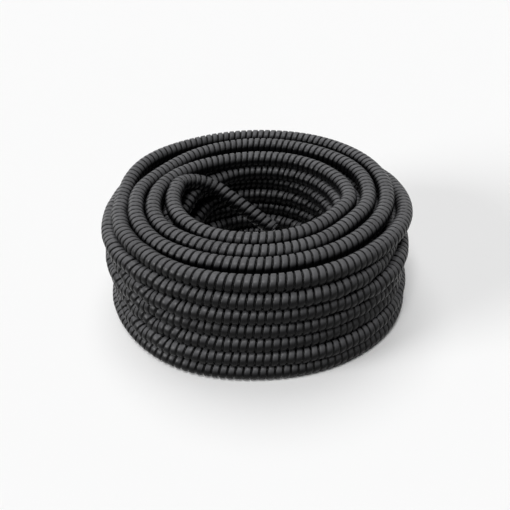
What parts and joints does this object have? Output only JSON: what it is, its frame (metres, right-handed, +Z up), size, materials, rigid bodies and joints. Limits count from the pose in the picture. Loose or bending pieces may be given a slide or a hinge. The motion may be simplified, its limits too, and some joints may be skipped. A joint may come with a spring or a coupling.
{
  "type": "corrugated conduit coil",
  "caption": "Loose coil of black plastic-coated corrugated flexible conduit with an open middle and one free end lying across it.",
  "frame": {"origin": "centre of the coil, on the floor it lies on", "axes": "+Z up along the coil's axis, -Y towards the front, +X to the right as seen from the front"},
  "size_m": [0.3842, 0.3842, 0.1391],
  "materials": {
    "black_pvc": "satin"
  },
  "bodies": {
    "root": {"conduit": "black_pvc"}
  },
  "joints": []
}
